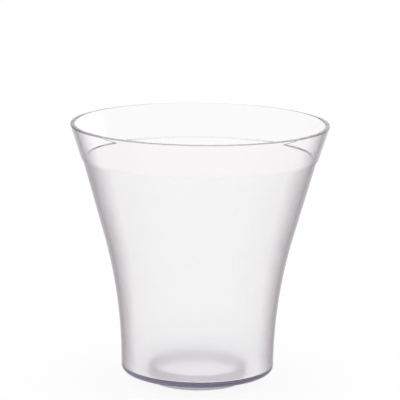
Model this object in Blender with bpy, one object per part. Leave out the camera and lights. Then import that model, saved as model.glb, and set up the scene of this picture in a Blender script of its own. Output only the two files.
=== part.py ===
# Clear plastic champagne bucket: a flared wall bonded between a proud rim collar and a thick
# base plate, standing on a low foot ring. Origin at the centre of the foot's underside, +Z up.
import bpy
import bmesh
from math import cos, pi, radians, sin, tan
from mathutils import Matrix, Vector

# Driving dimensions, in metres
total_height = 0.2428
rim_radius = 0.120
collar_height = 0.0315
collar_flare = radians(17.8)        # the collar's slope, measured from the vertical
wall_flare = radians(15.6)          # the slope of the straight upper part of the wall
step_depth = 0.0014                 # how far the collar stands proud of the wall below it
base_radius = 0.0714
wall_thickness = 0.003
plate_thickness = 0.006
plate_edge_round = 0.0045
foot_radius = 0.046
foot_width = 0.004
foot_height = 0.0086
bond_gap = 0.0003                   # room for the bond line between two pieces

# Small roundings where a corner is polished over
rim_round = 0.0008
edge_round = 0.0004
foot_round = 0.0012

turn_segments = 64
wall_arc_segments = 8
corner_segments = 2
plate_corner_segments = 4

# Levels and radii that follow from them
plate_bottom = foot_height + bond_gap
plate_top = plate_bottom + plate_thickness
wall_bottom = plate_top + bond_gap
collar_bottom = total_height - collar_height
wall_top = collar_bottom - bond_gap
collar_lower_radius = rim_radius - collar_height * tan(collar_flare)
wall_top_radius = collar_lower_radius - step_depth
inner_top_radius = wall_top_radius - wall_thickness / cos(wall_flare)


def filleted(corners):
    """Turns corners (radius, height, rounding, segments) into an outline with round corners."""
    outline = []
    count = len(corners)
    for i, (x, z, rounding, segments) in enumerate(corners):
        here = Vector((x, z))
        if rounding == 0:
            outline.append(here)
            continue
        before = Vector(corners[i - 1][:2]) - here
        after = Vector(corners[(i + 1) % count][:2]) - here
        half = before.angle(after) / 2
        middle = (before.normalized() + after.normalized()).normalized()
        centre = here + middle * rounding / sin(half)
        start = here + before.normalized() * rounding / tan(half) - centre
        end = here + after.normalized() * rounding / tan(half) - centre
        sweep = start.angle_signed(end)
        for step in range(segments + 1):
            turned = start.copy()
            turned.rotate(Matrix.Rotation(-sweep * step / segments, 2))
            outline.append(centre + turned)
    return outline


def turned(name, outline, closed, material):
    """Spins an outline round the Z axis; an open outline starts and ends on the axis."""
    bm = bmesh.new()
    verts = [bm.verts.new((point.x, 0, point.y)) for point in outline]
    pairs = list(zip(verts, verts[1:]))
    if closed:
        pairs.append((verts[-1], verts[0]))
    edges = [bm.edges.new(pair) for pair in pairs]
    bmesh.ops.spin(bm, geom=verts + edges, cent=(0, 0, 0), axis=(0, 0, 1),
                   angle=2 * pi, steps=turn_segments)
    bmesh.ops.remove_doubles(bm, verts=bm.verts, dist=0.000001)
    bmesh.ops.recalc_face_normals(bm, faces=bm.faces)
    mesh = bpy.data.meshes.new(name)
    bm.to_mesh(mesh)
    bm.free()
    mesh.shade_smooth()
    mesh.set_sharp_from_angle(angle=radians(40))
    mesh.materials.append(material)
    piece = bpy.data.objects.new(name, mesh)
    bpy.context.scene.collection.objects.link(piece)
    return piece


def clear_plastic(name, colour, roughness):
    """Clear styrene plastic, polished or satin by its roughness."""
    material = bpy.data.materials.new(name)
    material.use_nodes = True
    shader = material.node_tree.nodes["Principled BSDF"]
    shader.inputs["Base Color"].default_value = (*colour, 1)
    shader.inputs["Roughness"].default_value = roughness
    shader.inputs["Metallic"].default_value = 0
    shader.inputs["Transmission Weight"].default_value = 1
    shader.inputs["IOR"].default_value = 1.57
    return material


def make_rim_collar():
    inner_rim_radius = inner_top_radius + collar_height * tan(collar_flare)
    corners = [
        (rim_radius, total_height, rim_round, corner_segments),
        (collar_lower_radius, collar_bottom, edge_round, corner_segments),
        (inner_top_radius, collar_bottom, 0, 0),
        (inner_rim_radius, total_height, rim_round, corner_segments),
    ]
    material = clear_plastic("polished_clear", (0.87, 0.86, 0.90), 0.05)
    return turned("rim_collar", filleted(corners), True, material)


def wall_face(offset):
    """One face of the wall from top to bottom, offset inwards: straight, then a long arc.

    The arc's centre lies outside the bucket, level with the wall's lower end, so the wall
    arrives there upright. Its radius is the one that meets the straight flare at a tangent.
    """
    drop = collar_bottom - wall_bottom
    inset = wall_top_radius - base_radius
    arc_radius = (drop * tan(wall_flare) - inset) / (1 / cos(wall_flare) - 1)
    face = [Vector((wall_top_radius - offset / cos(wall_flare), wall_top))]
    for step in range(wall_arc_segments + 1):
        angle = wall_flare * (1 - step / wall_arc_segments)
        reach = arc_radius + offset
        x = base_radius + arc_radius - reach * cos(angle)
        face.append(Vector((x, wall_bottom + reach * sin(angle))))
    return face


def make_bucket_wall():
    outline = wall_face(0) + wall_face(wall_thickness)[::-1]
    material = clear_plastic("satin_clear", (0.86, 0.85, 0.88), 0.25)
    return turned("bucket_wall", outline, True, material)


def make_base_plate():
    corners = [
        (0, plate_top, 0, 0),
        (base_radius, plate_top, edge_round, 1),
        (base_radius, plate_bottom, plate_edge_round, plate_corner_segments),
        (0, plate_bottom, 0, 0),
    ]
    material = clear_plastic("violet_clear", (0.68, 0.66, 0.80), 0.05)
    return turned("base_plate", filleted(corners), False, material)


def make_foot_ring():
    corners = [
        (foot_radius, foot_height, 0, 0),
        (foot_radius, 0, foot_round, corner_segments),
        (foot_radius - foot_width, 0, edge_round, 1),
        (foot_radius - foot_width, foot_height, 0, 0),
    ]
    material = clear_plastic("foot_clear", (0.74, 0.72, 0.80), 0.08)
    return turned("foot_ring", filleted(corners), True, material)


for old in list(bpy.data.objects):
    bpy.data.objects.remove(old, do_unlink=True)

make_rim_collar()
make_bucket_wall()
make_base_plate()
make_foot_ring()
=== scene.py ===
import bmesh
import bpy
import numpy as np
from math import cos, pi, radians, tan
from mathutils import Matrix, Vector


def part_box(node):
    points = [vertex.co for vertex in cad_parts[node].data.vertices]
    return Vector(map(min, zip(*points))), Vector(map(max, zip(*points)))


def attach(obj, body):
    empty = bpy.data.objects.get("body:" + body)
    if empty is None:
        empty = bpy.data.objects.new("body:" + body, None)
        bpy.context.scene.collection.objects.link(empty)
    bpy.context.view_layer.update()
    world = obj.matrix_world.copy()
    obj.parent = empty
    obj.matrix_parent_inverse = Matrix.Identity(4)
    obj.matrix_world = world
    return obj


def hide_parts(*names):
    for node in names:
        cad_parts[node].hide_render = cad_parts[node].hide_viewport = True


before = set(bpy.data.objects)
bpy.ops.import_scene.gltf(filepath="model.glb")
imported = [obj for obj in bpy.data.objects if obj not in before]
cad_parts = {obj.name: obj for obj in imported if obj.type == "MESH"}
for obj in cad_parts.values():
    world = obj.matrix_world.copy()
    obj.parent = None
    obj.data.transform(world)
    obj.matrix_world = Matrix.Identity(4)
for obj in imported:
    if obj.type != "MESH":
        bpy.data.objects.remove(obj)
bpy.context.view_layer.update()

scene = bpy.context.scene


def linear(hexColour, alpha=1.0):
    # sRGB hex to the linear colour that shaders take
    value = np.array([int(hexColour[i:i + 2], 16) for i in (1, 3, 5)]) / 255
    value = np.where(value <= 0.04045, value / 12.92, ((value + 0.055) / 1.055) ** 2.4)
    return (*value, alpha)


def addNode(tree, kind, sockets=None, links=None, **settings):
    # one node: its attributes, its socket values and what feeds its sockets
    node = tree.nodes.new(kind)
    for name, value in settings.items():
        setattr(node, name, value)
    for socket, value in (sockets or {}).items():
        node.inputs[socket].default_value = value
    for socket, source in (links or {}).items():
        tree.links.new(source, node.inputs[socket])
    return node


def newMaterial(name):
    material = bpy.data.materials.new(name)
    material.use_nodes = True
    material.node_tree.nodes.clear()
    return material, material.node_tree


def fillet(before, corner, after, size, steps=14):
    # the arc of radius size that touches both sides of a corner: its centre lies on the line
    # that halves the corner, and the arc turns from one tangent point to the other
    toBefore = (before - corner) / np.linalg.norm(before - corner)
    toAfter = (after - corner) / np.linalg.norm(after - corner)
    half = np.arccos(np.clip(toBefore @ toAfter, -1, 1)) / 2
    middle = (toBefore + toAfter) / np.linalg.norm(toBefore + toAfter)
    centre = corner + middle * size / np.sin(half)
    start = corner + toBefore * size / np.tan(half) - centre
    end = corner + toAfter * size / np.tan(half) - centre
    across = np.array([-start[1], start[0]])
    sweep = np.arctan2(across @ end, start @ end)
    turn = np.linspace(0, sweep, steps)[:, None]
    return centre + start * np.cos(turn) + across * np.sin(turn)


def roundedOutline(corners, closed=True):
    # corners are (x, z, rounding); a corner without rounding stays one point
    points = [np.array(corner[:2]) for corner in corners]
    parts = []
    for i, (x, z, size) in enumerate(corners):
        after = points[(i + 1) % len(points)]
        parts.append(fillet(points[i - 1], points[i], after, size) if size else points[i][None])
    return evenlyCut(np.vstack(parts), closed)


def evenlyCut(outline, closed, longest=0.002):
    # no stretch of the outline is longer than this, so that smooth shading stays true on flats
    ends = np.roll(outline, -1, axis=0) if closed else outline[1:]
    parts = []
    for start, end in zip(outline, ends):
        count = max(1, int(np.ceil(np.linalg.norm(end - start) / longest)))
        share = np.arange(count)[:, None] / count
        parts.append(start + (end - start) * share)
    if not closed:
        parts.append(outline[-1:])
    return np.vstack(parts)


def turnedPiece(name, outline, material, closed=True, around=288):
    # surface of revolution: (x cos u, x sin u, z) for every outline point and every angle u.
    # An open outline starts and ends on the axis, and each of those ends is merged to a pole.
    angles = np.linspace(0, 2 * pi, around, endpoint=False)
    x, z = outline.T
    grid = np.stack([
        x[:, None] * np.cos(angles),
        x[:, None] * np.sin(angles),
        np.repeat(z[:, None], around, axis=1),
    ], axis=-1)
    index = np.arange(grid.size // 3).reshape(len(outline), around)
    here = index if closed else index[:-1]
    below = np.roll(index, -1, axis=0) if closed else index[1:]
    corners = [here, below, np.roll(below, -1, axis=1), np.roll(here, -1, axis=1)]
    quads = np.stack(corners, axis=-1).reshape(-1, 4)
    mesh = bpy.data.meshes.new(name)
    mesh.from_pydata(grid.reshape(-1, 3), [], quads)
    bm = bmesh.new()
    bm.from_mesh(mesh)
    bmesh.ops.remove_doubles(bm, verts=bm.verts, dist=0.000001)
    bmesh.ops.recalc_face_normals(bm, faces=bm.faces)
    bm.to_mesh(mesh)
    bm.free()
    mesh.shade_smooth()
    mesh.set_sharp_from_angle(angle=radians(35))
    mesh.materials.append(material)
    piece = bpy.data.objects.new(name, mesh)
    scene.collection.objects.link(piece)
    return piece


# What the plastic takes out of the light in each metre, for red, green and blue, gives the eye
# a clear wall that greys and turns violet where light runs far along it.
plastic = {
    "ior": 1.57,
    "thinTaken": (7.2, 9.2, 7.6),
    "thickTaken": (12.5, 13.8, 10.0),
    # painted shade: the foot takes far more light than the plastic, so it reads dark as if shaded
    # under the bucket
    "footPaintedShadeTaken": (190.0, 200.0, 178.0),
    "absorptionDensity": 240.0,
}


def noiseAt(tree, place, grainMm, detail=2.0):
    # noise whose features are about grainMm across
    return addNode(tree, "ShaderNodeTexNoise", {
        "Scale": 1000 / grainMm,
        "Detail": detail,
    }, {"Vector": place.outputs["Object"]})


def clearPlastic(name, taken, roughness, paintedEdgeShade, grainMm, grainHigh, waveHigh):
    # injection-moulded SAN: a dielectric surface round a faintly absorbing solid, with fine
    # grain, slow waves left by the mould and gloss that varies a little from place to place.
    # The shade setting is (where the painted shade starts, where it is full, its colour) by the
    # facing
    # angle: painted shade that darkens the colour towards the silhouettes, standing in for dark
    # reflections;
    # faces that look away from the axis have all of it, level ones half, inner ones none.
    material, tree = newMaterial(name)
    place = addNode(tree, "ShaderNodeTexCoord")
    facing = addNode(tree, "ShaderNodeLayerWeight", {"Blend": 0.5})
    ramp = addNode(tree, "ShaderNodeValToRGB", None, {"Fac": facing.outputs["Facing"]})
    ramp.color_ramp.elements[0].position = paintedEdgeShade[0]
    ramp.color_ramp.elements[0].color = (1, 1, 1, 1)
    ramp.color_ramp.elements[1].position = paintedEdgeShade[1]
    ramp.color_ramp.elements[1].color = linear(paintedEdgeShade[2])
    shape = addNode(tree, "ShaderNodeNewGeometry")
    spoke = addNode(tree, "ShaderNodeVectorMath", {1: (1, 1, 0)}, {
        0: place.outputs["Object"],
    }, operation="MULTIPLY")
    outward = addNode(tree, "ShaderNodeVectorMath", None, {
        0: spoke.outputs["Vector"],
        1: shape.outputs["Normal"],
    }, operation="DOT_PRODUCT")
    outside = addNode(tree, "ShaderNodeMapRange", {
        "From Min": -0.04,
        "From Max": 0.04,
    }, {"Value": outward.outputs["Value"]})
    # painted shade: the dark grazing-angle colour is mixed into the base colour on faces that look
    # away from the axis
    paintedShadeMix = addNode(tree, "ShaderNodeMixRGB", {"Color1": (1, 1, 1, 1)}, {
        "Fac": outside.outputs["Result"],
        "Color2": ramp.outputs["Color"],
    })
    patches = noiseAt(tree, place, 14)
    gloss = addNode(tree, "ShaderNodeMapRange", {
        "To Min": roughness * 0.8,
        "To Max": roughness * 1.2,
    }, {"Value": patches.outputs["Fac"]})
    waves = noiseAt(tree, place, 22, 0.0)
    slow = addNode(tree, "ShaderNodeBump", {"Distance": waveHigh}, {"Height": waves.outputs["Fac"]})
    grain = noiseAt(tree, place, grainMm)
    fine = addNode(tree, "ShaderNodeBump", {"Distance": grainHigh}, {
        "Height": grain.outputs["Fac"],
        "Normal": slow.outputs["Normal"],
    })
    surface = addNode(tree, "ShaderNodeBsdfPrincipled", {
        "IOR": plastic["ior"],
        "Transmission Weight": 1.0,
    }, {
        "Base Color": paintedShadeMix.outputs["Color"],
        "Roughness": gloss.outputs["Result"],
        "Normal": fine.outputs["Normal"],
    })
    density = plastic["absorptionDensity"]
    kept = [1 - share / density for share in taken]
    volume = addNode(tree, "ShaderNodeVolumeAbsorption", {
        "Color": (*kept, 1),
        "Density": density,
    })
    addNode(tree, "ShaderNodeOutputMaterial", None, {
        "Surface": surface.outputs["BSDF"],
        "Volume": volume.outputs["Volume"],
    })
    return material


# heights and radii come from the frame's boxes; the rest is in metres
collarLow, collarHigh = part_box("rim_collar")
wallLow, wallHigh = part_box("bucket_wall")
plateLow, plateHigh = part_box("base_plate")
footLow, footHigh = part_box("foot_ring")

collar = {
    "flare": radians(17.8),
    "rimRound": 0.001,
    "lowerRound": 0.0003,
    "step": 0.0014,
    "seam": 0.0002,
}
wall = {
    "flare": radians(15.6),
    "thickness": 0.003,
    "arcSteps": 72,
}
plate = {
    "lowerRound": 0.0045,
    "upperRound": 0.0004,
}
foot = {
    "width": 0.004,
    "outerRound": 0.0012,
    "innerRound": 0.0004,
}


def wallFace(offset):
    # one face of the wall, top to bottom, offset inwards: a straight flare, then an arc whose
    # centre lies outside the bucket, level with the wall's lower end:
    # x = base + arc - (arc + offset) cos(angle), z = bottom + (arc + offset) sin(angle)
    drop = collarLow[2] - wallLow[2]
    baseRadius = plateHigh[0]
    inset = wallHigh[0] - baseRadius
    flare = wall["flare"]
    arc = (drop * tan(flare) - inset) / (1 / cos(flare) - 1)
    angle = np.linspace(flare, 0, wall["arcSteps"])
    x = baseRadius + arc - (arc + offset) * np.cos(angle)
    z = wallLow[2] + (arc + offset) * np.sin(angle)
    top = [wallHigh[0] - offset / cos(flare), wallHigh[2]]
    return np.vstack([top, np.stack([x, z], axis=-1)])


def makeRimCollar():
    # the collar reaches down over most of the bond gap, so that the seam stays a hairline
    height = collarHigh[2] - collarLow[2]
    lowerEdge = wallHigh[2] + collar["seam"]
    lowerRadius = wallHigh[0] + collar["step"]
    rimRadius = lowerRadius + height * tan(collar["flare"])
    innerLower = wallHigh[0] - wall["thickness"] / cos(wall["flare"])
    innerRim = innerLower + height * tan(collar["flare"])
    outline = roundedOutline([
        (rimRadius, collarHigh[2], collar["rimRound"]),
        (lowerRadius, lowerEdge, collar["lowerRound"]),
        (innerLower, lowerEdge, 0),
        (innerRim, collarHigh[2], collar["rimRound"]),
    ])
    # polishedSan gives the rim and collar their gloss; their crisp, grey-violet edges are painted
    # shade, a dark colour mixed in towards grazing angles
    material = clearPlastic("polishedSan", plastic["thinTaken"], roughness=0.03,
                            paintedEdgeShade=(0.52, 0.76, "#3A3140"), grainMm=3, grainHigh=0.000002,
                            waveHigh=0.00006)
    piece = turnedPiece("rimCollar", outline, material)
    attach(piece, "root")
    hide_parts("rim_collar")


def makeBucketWall():
    outline = evenlyCut(np.vstack([wallFace(0), wallFace(wall["thickness"])[::-1]]), True)
    # satinSan gives the body its soft, milky look, with everything behind it blurred; its
    # grey-violet darkening towards the silhouettes is painted shade
    material = clearPlastic("satinSan", plastic["thinTaken"], roughness=0.2,
                            paintedEdgeShade=(0.43, 0.765, "#50404E"), grainMm=0.8, grainHigh=0.000006,
                            waveHigh=0.00002)
    piece = turnedPiece("bucketWall", outline, material)
    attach(piece, "root")
    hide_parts("bucket_wall")


def makeBasePlate():
    outline = roundedOutline([
        (0, plateHigh[2], 0),
        (plateHigh[0], plateHigh[2], plate["upperRound"]),
        (plateHigh[0], plateLow[2], plate["lowerRound"]),
        (0, plateLow[2], 0),
    ], closed=False)
    # thickSan gives the violet-grey band along the base, where light crosses the whole plate
    # a faint painted shade greys the plate a little towards grazing angles
    material = clearPlastic("thickSan", plastic["thickTaken"], roughness=0.03,
                            paintedEdgeShade=(0.5, 0.8, "#F0F0F4"), grainMm=3, grainHigh=0.000002,
                            waveHigh=0.00002)
    piece = turnedPiece("basePlate", outline, material, closed=False)
    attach(piece, "root")
    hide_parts("base_plate")


def makeFootRing():
    outline = roundedOutline([
        (footHigh[0], footHigh[2], 0),
        (footHigh[0], footLow[2], foot["outerRound"]),
        (footHigh[0] - foot["width"], footLow[2], foot["innerRound"]),
        (footHigh[0] - foot["width"], footHigh[2], 0),
    ])
    # footSanPaintedShade gives the grey line under the band: its absorption, far above the
    # plastic's, is painted shade for the shade the foot stands in under the bucket; its rougher
    # surface is scuffed
    material = clearPlastic("footSanPaintedShade", plastic["footPaintedShadeTaken"], roughness=0.15,
                            paintedEdgeShade=(0.5, 0.8, "#E0DEE2"), grainMm=1.5, grainHigh=0.000006,
                            waveHigh=0.00002)
    piece = turnedPiece("footRing", outline, material)
    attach(piece, "root")
    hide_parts("foot_ring")


studio = {
    "floorSize": 8.0,
    "floorHeight": -0.0001,
    "floorGlow": 0.88,
    "worldLight": 1.0,
    "panelWay": (0.62, 0.78, 0.05),
    "panelLight": 1.45,
}


def makeFloor():
    # plain white floor: lit white paper, topped up to full white where nothing shades it
    half = studio["floorSize"] / 2
    u, v = np.meshgrid(np.linspace(-half, half, 5), np.linspace(-half, half, 5))
    grid = np.stack([u, v, np.full_like(u, studio["floorHeight"])], axis=-1).reshape(-1, 3)
    index = np.arange(25).reshape(5, 5)
    quads = [index[:-1, :-1], index[:-1, 1:], index[1:, 1:], index[1:, :-1]]
    mesh = bpy.data.meshes.new("studioFloor")
    mesh.from_pydata(grid, [], np.stack(quads, axis=-1).reshape(-1, 4))
    material, tree = newMaterial("whitePaper")
    lit = 1 - studio["floorGlow"]
    paper = addNode(tree, "ShaderNodeBsdfDiffuse", {"Color": (lit, lit, lit, 1)})
    glow = addNode(tree, "ShaderNodeEmission", {
        "Color": (1, 1, 1, 1),
        "Strength": studio["floorGlow"],
    })
    both = addNode(tree, "ShaderNodeAddShader")
    tree.links.new(paper.outputs["BSDF"], both.inputs[0])
    tree.links.new(glow.outputs["Emission"], both.inputs[1])
    addNode(tree, "ShaderNodeOutputMaterial", None, {"Surface": both.outputs["Shader"]})
    mesh.materials.append(material)
    floor = bpy.data.objects.new("studioFloor", mesh)
    scene.collection.objects.link(floor)


def makeWorld():
    world = bpy.data.worlds.new("studio")
    scene.world = world
    world.use_nodes = True
    tree = world.node_tree
    tree.nodes.clear()
    # even white light all round, with a soft panel behind the bucket on its right
    way = addNode(tree, "ShaderNodeTexCoord")
    toPanel = addNode(tree, "ShaderNodeVectorMath", {1: studio["panelWay"]}, {
        0: way.outputs["Generated"],
    }, operation="DOT_PRODUCT")
    panel = addNode(tree, "ShaderNodeMapRange", {
        "From Min": 0.7,
        "From Max": 0.96,
        "To Min": studio["worldLight"],
        "To Max": studio["panelLight"],
    }, {"Value": toPanel.outputs["Value"]}, interpolation_type="SMOOTHSTEP")
    light = addNode(tree, "ShaderNodeBackground", {
        "Color": (1, 1, 1, 1),
    }, {"Strength": panel.outputs["Result"]})
    addNode(tree, "ShaderNodeOutputWorld", None, {"Surface": light.outputs["Background"]})


camera = {
    "distance": 2.044,
    "aboveRim": 0.3425,
    "aside": 0.0007,
    "pitch": 0.2003,
    "roll": 0.0118,
    "lensMm": 202.3,
}


def makeCamera():
    # a long lens at a small height above the rim, turned a little about its own axis
    lens = bpy.data.cameras.new("productCamera")
    lens.lens = camera["lensMm"]
    lens.sensor_width = 36
    lens.clip_end = 50
    viewer = bpy.data.objects.new("productCamera", lens)
    place = Matrix.Translation((camera["aside"], -camera["distance"],
                                collarHigh[2] + camera["aboveRim"]))
    tilt = Matrix.Rotation(pi / 2 - camera["pitch"], 4, "X")
    roll = Matrix.Rotation(camera["roll"], 4, "Z")
    viewer.matrix_world = place @ tilt @ roll
    scene.collection.objects.link(viewer)
    scene.camera = viewer


makeRimCollar()
makeBucketWall()
makeBasePlate()
makeFootRing()
print("bucket pieces made")
makeFloor()
makeWorld()
makeCamera()
scene.view_settings.view_transform = "Standard"
scene.cycles.max_bounces = 32             # light runs a long way inside clear plastic
scene.cycles.transmission_bounces = 32
scene.cycles.glossy_bounces = 16
print("studio and camera made")
